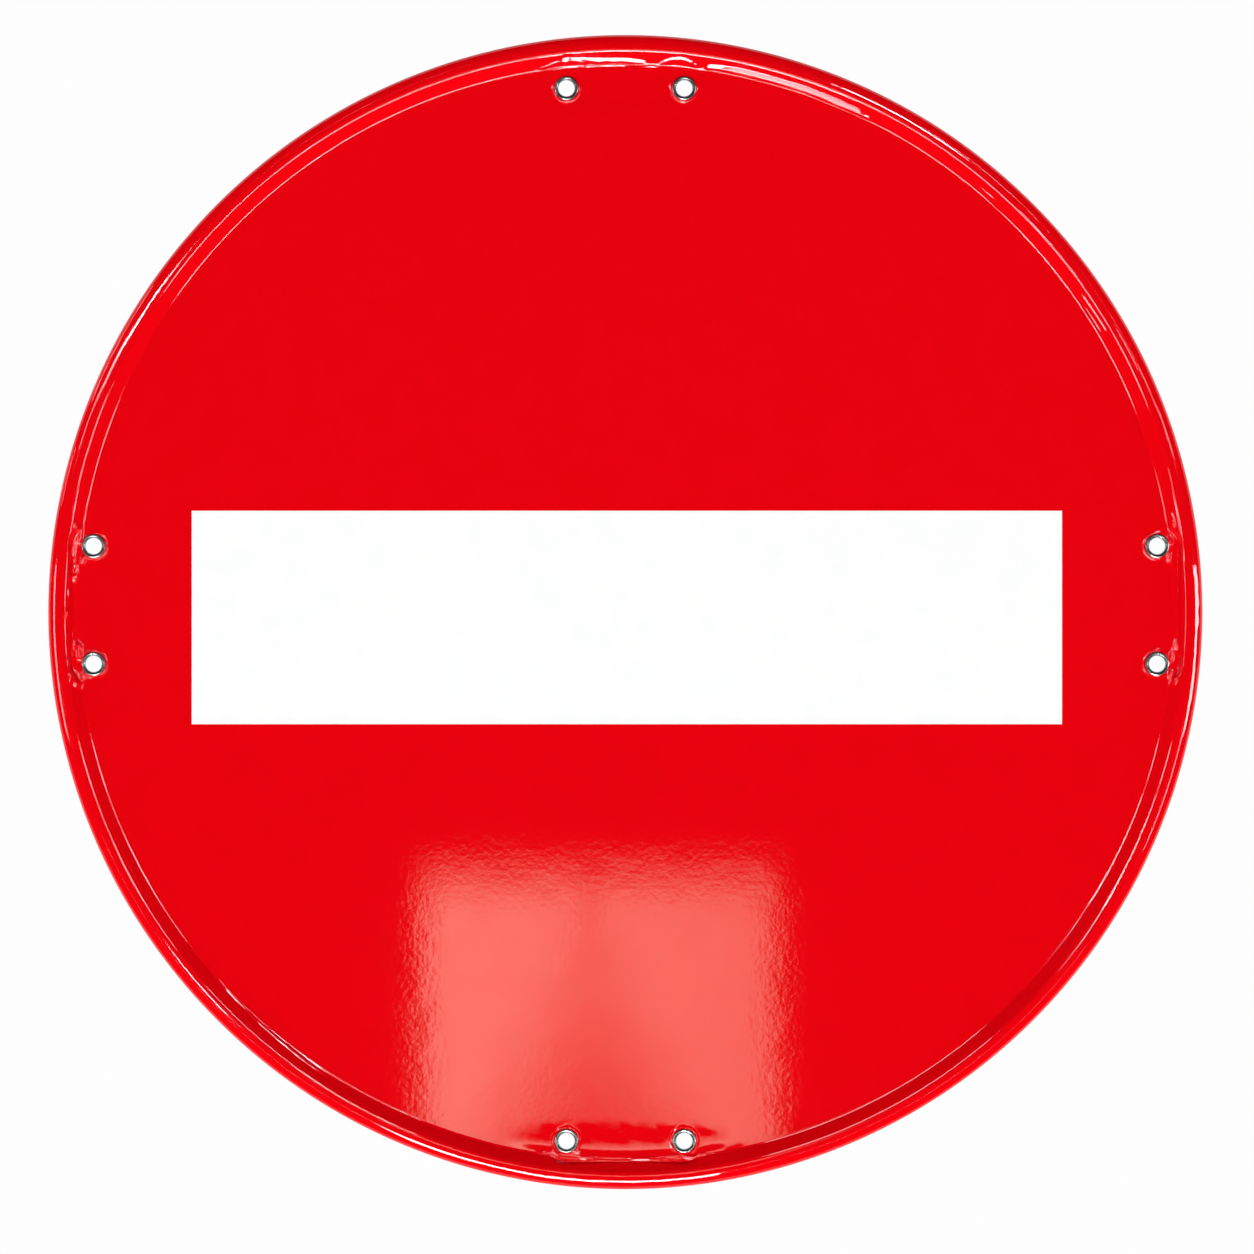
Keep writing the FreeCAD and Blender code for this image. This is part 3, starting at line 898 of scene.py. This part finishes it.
# %% Lamps, placed by direction
def area_lamp(name, wide, high, radiance, colour=(1, 1, 1)):
    """A panel of a size in metres that looks equally bright at any size."""
    light = bpy.data.lights.new(name, "AREA")
    light.shape = "RECTANGLE"
    light.size, light.size_y, light.color = wide, high, colour
    light.energy = radiance * math.pi * wide * high
    lamp = bpy.data.objects.new(name, light)
    bpy.context.scene.collection.objects.link(lamp)
    lamp.visible_camera = False
    return lamp


def spread(distance, degrees):
    """The width that fills an angle at a distance."""
    return 2 * distance * math.tan(math.radians(degrees / 2))


def aim(lamp, azimuth, elevation, distance):
    """Puts a lamp in a direction from the sign, in front of it, and points it at the sign."""
    turn, tilt = math.radians(azimuth), math.radians(elevation)
    away = (math.sin(turn) * math.cos(tilt), -math.cos(turn) * math.cos(tilt), math.sin(tilt))
    lamp.location = [distance * part for part in away]
    lamp.rotation_euler = (QUARTER_TURN - tilt, 0, turn)


# %% Soft boxes, and suns that only fill
LAMPS_AWAY, SUNS_AWAY = 12, 3


def panel_lamp(name, azimuth, elevation, wide, high, radiance, in_gloss=True):
    """A soft box that fills wide by high degrees of the view from the sign."""
    lamp = area_lamp(name, spread(LAMPS_AWAY, wide), spread(LAMPS_AWAY, high), radiance)
    lamp.visible_glossy = in_gloss
    aim(lamp, azimuth, elevation, LAMPS_AWAY)


def sun_lamp(name, azimuth, elevation, width, irradiance):
    """A soft sun that lights, but that gloss doesn't show."""
    light = bpy.data.lights.new(name, "SUN")
    light.angle, light.energy = math.radians(width), irradiance
    lamp = bpy.data.objects.new(name, light)
    bpy.context.scene.collection.objects.link(lamp)
    lamp.visible_glossy = False
    aim(lamp, azimuth, elevation, SUNS_AWAY)


panel_lamp("key", azimuth=-6, elevation=-36, wide=20, high=7, radiance=30.0)
panel_lamp("key_side", azimuth=-13, elevation=-36, wide=10, high=7, radiance=30.0, in_gloss=False)
panel_lamp("low_soft_box", azimuth=0, elevation=-27, wide=72, high=10, radiance=2.4, in_gloss=False)
panel_lamp("window_right", azimuth=44, elevation=-2.5, wide=6, high=12, radiance=18.0)
panel_lamp("window_left", azimuth=-44, elevation=-2.5, wide=6, high=12, radiance=9.0)
sun_lamp("fill_below", azimuth=0, elevation=-75, width=30, irradiance=0.85)
sun_lamp("fill_left", azimuth=-78, elevation=-18, width=30, irradiance=0.8)
sun_lamp("fill_right", azimuth=78, elevation=-18, width=30, irradiance=0.8)
print("lamps:", len(bpy.data.lights))

# %% [markdown]
# Thin bright lines run round the rim in the photo. Each is the mirror image of something bright
# in the room, seen where the sheet has just one tilt, so it starts and stops where that thing
# does. Narrow strips of light on cones round the disc's axis do the same: the angle off the axis
# picks the tilt at which a strip shows, and so the line's radius, and its start and end are the
# line's own. They are seen by the film's gloss only, and light nothing.

# %% Strips: angle off the axis and thickness, then start, end and radiance, angles in degrees
STRIPS = {
    "flats of the wall": (30, 4, [
        (202, 325, 14), (14, 19, 14), (19, 25, 6), (25, 32, 18), (32, 37, 8), (105, 130, 9),
        (148, 160, 16), (162, 166, 12), (187, 194, 6), (338, 349, 10),
    ]),
    "crown at the knee": (27, 2, [(42, 58, 40)]),
    "crown by the crest": (17, 3, [(140, 142, 12), (142, 144.5, 30), (216, 225, 35)]),
    "crown further out": (20, 3, [(54, 68, 55), (144, 147, 75), (147, 150.5, 130), (26, 30, 10)]),
    "crown before the knee": (24, 3, [(150, 153, 38), (153, 156, 12)]),
    "crown after the knee": (35, 3, [(151, 158, 20), (21, 26, 10)]),
    "crown near the edge": (39, 3, [(16, 21, 10), (157, 163, 7), (336, 348, 10)]),
    "bend of the edge": (68, 3, [(145, 158, 22), (163, 169, 18)]),
}
LONGEST_STRIP = 20  # degrees, past which a flat strip would leave its cone
film_only = bpy.data.collections.new("film_only")
film_only.objects.link(film)


def strip_lamp(off_axis, thick, turn, step, radiance):
    """A flat strip, a step long and square to its direction, at a turn round the axis."""
    away = Vector((math.sin(off_axis) * math.cos(turn), -math.cos(off_axis),
                   math.sin(off_axis) * math.sin(turn)))
    along = Vector((-math.sin(turn), 0, math.cos(turn)))
    wide = 2 * LAMPS_AWAY * math.sin(off_axis) * math.tan(step / 2)
    strip = area_lamp("strip", wide, spread(LAMPS_AWAY, thick), radiance)
    strip.rotation_euler = Matrix((along, away.cross(along), away)).transposed().to_euler()
    strip.location = away * LAMPS_AWAY
    strip.visible_diffuse = False
    strip.light_linking.receiver_collection = film_only


# %% Place the strips
for off_axis, thick, strips in STRIPS.values():
    for start, end, radiance in strips:
        count = max(1, round((end - start) / LONGEST_STRIP))
        step = math.radians((end - start) / count)
        for number in range(count):
            turn = math.radians(start) + (number + 0.5) * step
            strip_lamp(math.radians(off_axis), thick, turn, step, radiance)
print("lamps with the strips:", len(bpy.data.lights))

# %% [markdown]
# ## The panel that the face mirrors
# A soft bright patch stands on the foot of the face: the mirror image of a cloth panel that
# stood in front of the sign. It is brightest at its left, dimmer down its middle towards the
# foot, and soft at its edges. A lamp's own colour and strength can't do that, so its shader
# multiplies plain ramps across the panel. The cloth's own unevenness comes from one noise.

# %% A warm panel in front of the sign
GLOW_SIZE, GLOW_PLACE, GLOW_RADIANCE = (0.4, 0.41), (-0.0285, -2.5, -0.435), 4.65
reflector = area_lamp("reflector", *GLOW_SIZE, GLOW_RADIANCE, colour=(1.0, 0.96, 0.76))
reflector.location = GLOW_PLACE
reflector.rotation_euler = (QUARTER_TURN, 0, 0)
reflector.data.use_nodes = True
tree = reflector.data.node_tree
spot = add_node(tree, "ShaderNodeNewGeometry").outputs["Parametric"]
across = add_node(tree, "ShaderNodeSeparateXYZ", links={"Vector": spot})

# %% Ramps across the panel: axis, start and end along it, values there, and kind of ramp
RAMPS = {
    "half width of the dip": ("Y", 0.25, 0.87, 0.44, 0.046, "LINEAR"),
    "depth of the dip": ("Y", 0.065, 0.62, 0.0, 0.7, "LINEAR"),
    "left to right": ("X", 0.15, 0.9, 1.03, 0.78, "LINEAR"),
    "top edge": ("Y", 1.0, 0.8, 0.0, 1.0, "SMOOTHSTEP"),
    "bottom edge": ("Y", 0.0, 0.19, 0.0, 1.0, "SMOOTHSTEP"),
    "left edge": ("X", 0.0, 0.1, 0.0, 1.0, "SMOOTHSTEP"),
    "right edge": ("X", 1.0, 0.9, 0.0, 1.0, "SMOOTHSTEP"),
}
ramps = {}
for name, (axis, start, end, low, high, kind) in RAMPS.items():
    node = add_node(tree, "ShaderNodeMapRange", {"interpolation_type": kind},
                    {"From Min": start, "From Max": end, "To Min": low, "To Max": high},
                    {"Value": across.outputs[axis]})
    ramps[name] = node.outputs["Result"]

# %% The dip down its middle, the cloth, and all of them multiplied
DIP_PLACE = 0.48
offset = add_node(tree, "ShaderNodeMath", {"operation": "SUBTRACT"}, {1: DIP_PLACE}, {0: across.outputs["X"]})
width = add_node(tree, "ShaderNodeMath", {"operation": "ABSOLUTE"}, links={0: offset.outputs[0]})
nearness = add_node(tree, "ShaderNodeMath", {"operation": "DIVIDE"},
                    links={0: width.outputs[0], 1: ramps["half width of the dip"]})
dip = add_node(tree, "ShaderNodeMapRange", {"interpolation_type": "SMOOTHSTEP"},
               links={"Value": nearness.outputs[0], "To Min": ramps["depth of the dip"]})
weave = add_node(tree, "ShaderNodeTexNoise", values={"Scale": 18.0, "Detail": 6.0, "Roughness": 0.6},
                 links={"Vector": spot})
cloth = add_node(tree, "ShaderNodeMapRange",
                 values={"From Min": 0.3, "From Max": 0.7, "To Min": 0.84, "To Max": 1.1},
                 links={"Value": weave.outputs["Fac"]})
factors = [ramps[name] for name in ("left to right", "top edge", "bottom edge", "left edge", "right edge")]
share = dip.outputs["Result"]
for factor in factors + [cloth.outputs["Result"]]:
    product = add_node(tree, "ShaderNodeMath", {"operation": "MULTIPLY"}, links={0: share, 1: factor})
    share = product.outputs[0]
tree.links.new(share, tree.nodes["Emission"].inputs["Strength"])
print("panel's nodes:", len(tree.nodes))

# %% [markdown]
# ## Floor
# The photo shows the sign alone on white. A matt paper floor lies far below it, a little to the
# rear, so that it is out of the camera's view and out of the sign's gloss, and still shows under
# the sign in views from above.

# %% A plain pale floor under the sign
FLOOR_DROP, FLOOR_RADIUS, FLOOR_BACK = 2.2, 1.8, 1.3
deselect_all()
bpy.ops.mesh.primitive_circle_add(
    vertices=96, radius=FLOOR_RADIUS, fill_type="NGON", location=(0, FLOOR_BACK, -FLOOR_DROP))
floor = bpy.context.object
floor.name = floor.data.name = "pale_floor"
floor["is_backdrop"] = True
pale, tree, shader = new_material("matt_white_paper_roll")
shader.inputs["Base Color"].default_value = linear("#F4F4F3")
shader.inputs["Roughness"].default_value = 0.85
floor.data.materials.append(pale)
sun_lamp("soft_top", azimuth=0, elevation=88, width=25, irradiance=0.6)
print("floor:", FLOOR_DROP, "m down")

# %% [markdown]
# ## World
# The world is white to the camera, which makes the white background. To everything else it is
# a room that is bright behind the sign and dim in front, where only the lamps are. A mirror
# would show that dim front as a grey veil over the red, so gloss sees it almost black.

# %% A studio that is white to the camera and dim in front
TO_CAMERA, BEHIND, IN_FRONT, IN_FRONT_TO_GLOSS = 0.985, 1.3, 0.12, 0.004
world = bpy.data.worlds.new("studio")
bpy.context.scene.world = world
world.use_nodes = True
tree = world.node_tree
surface = tree.nodes["Background"]
surface.inputs["Color"].default_value = (1, 1, 1, 1)
rays = add_node(tree, "ShaderNodeLightPath")
direction = add_node(tree, "ShaderNodeTexCoord").outputs["Generated"]
side = add_node(tree, "ShaderNodeSeparateXYZ", links={"Vector": direction})
behind = add_node(tree, "ShaderNodeMath", {"operation": "GREATER_THAN"}, {1: 0.0}, {0: side.outputs["Y"]})
mirrored = add_node(tree, "ShaderNodeMath", {"operation": "MAXIMUM"},
                    links={0: rays.outputs["Is Glossy Ray"], 1: rays.outputs["Is Transmission Ray"]})
behind_seen = add_node(tree, "ShaderNodeMath", {"operation": "MULTIPLY"},
                       links={0: mirrored.outputs[0], 1: behind.outputs[0]})
lit_behind = add_node(tree, "ShaderNodeMath", {"operation": "SUBTRACT", "use_clamp": True},
                      links={0: behind.outputs[0], 1: mirrored.outputs[0]})
white = add_node(tree, "ShaderNodeMath", {"operation": "MAXIMUM"},
                 links={0: rays.outputs["Is Camera Ray"], 1: behind_seen.outputs[0]})
dark = add_node(tree, "ShaderNodeMapRange", values={"To Min": IN_FRONT, "To Max": IN_FRONT_TO_GLOSS},
                links={"Value": mirrored.outputs[0]})
room = add_node(tree, "ShaderNodeMix", links={"Factor": lit_behind.outputs[0], "A": dark.outputs["Result"]})
room.inputs["B"].default_value = BEHIND
strength = add_node(tree, "ShaderNodeMix", links={"Factor": white.outputs[0], "A": room.outputs["Result"]})
strength.inputs["B"].default_value = TO_CAMERA
tree.links.new(strength.outputs["Result"], surface.inputs["Strength"])
print("world's nodes:", len(tree.nodes))

# %% [markdown]
# ## Camera
# The photo was taken square on, from some metres away. The lens follows from how much of the
# plane of the rim's crest fills the frame, so the distance can change without the sign's size.

# %% Camera and view
CAMERA_AWAY, FRAME_WIDTH, SENSOR_MM = 2.5, 0.6504, 36
CAMERA_ACROSS, CAMERA_UP = 0.863 * MM, -7.76 * MM
camera_data = bpy.data.cameras.new("camera")
camera_data.sensor_width = SENSOR_MM
camera_data.lens = SENSOR_MM * CAMERA_AWAY / FRAME_WIDTH
camera = bpy.data.objects.new("camera", camera_data)
bpy.context.scene.collection.objects.link(camera)
camera.location = (CAMERA_ACROSS, -DEPTH - CAMERA_AWAY, CAMERA_UP)
camera.rotation_euler = (QUARTER_TURN, 0, 0)
bpy.context.scene.camera = camera
bpy.context.scene.view_settings.view_transform = "Standard"
print("lens, mm:", round(camera_data.lens, 1))

# %% [markdown]
# ## Measure and finish
# The dressed sign's visual box is measured and printed. The dressed sign may not be
# larger than the CAD model.

# %% Measure the dressed sign and finish
low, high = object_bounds()
print("visual box, mm:", [round((b - a) / MM, 2) for a, b in zip(low, high)])
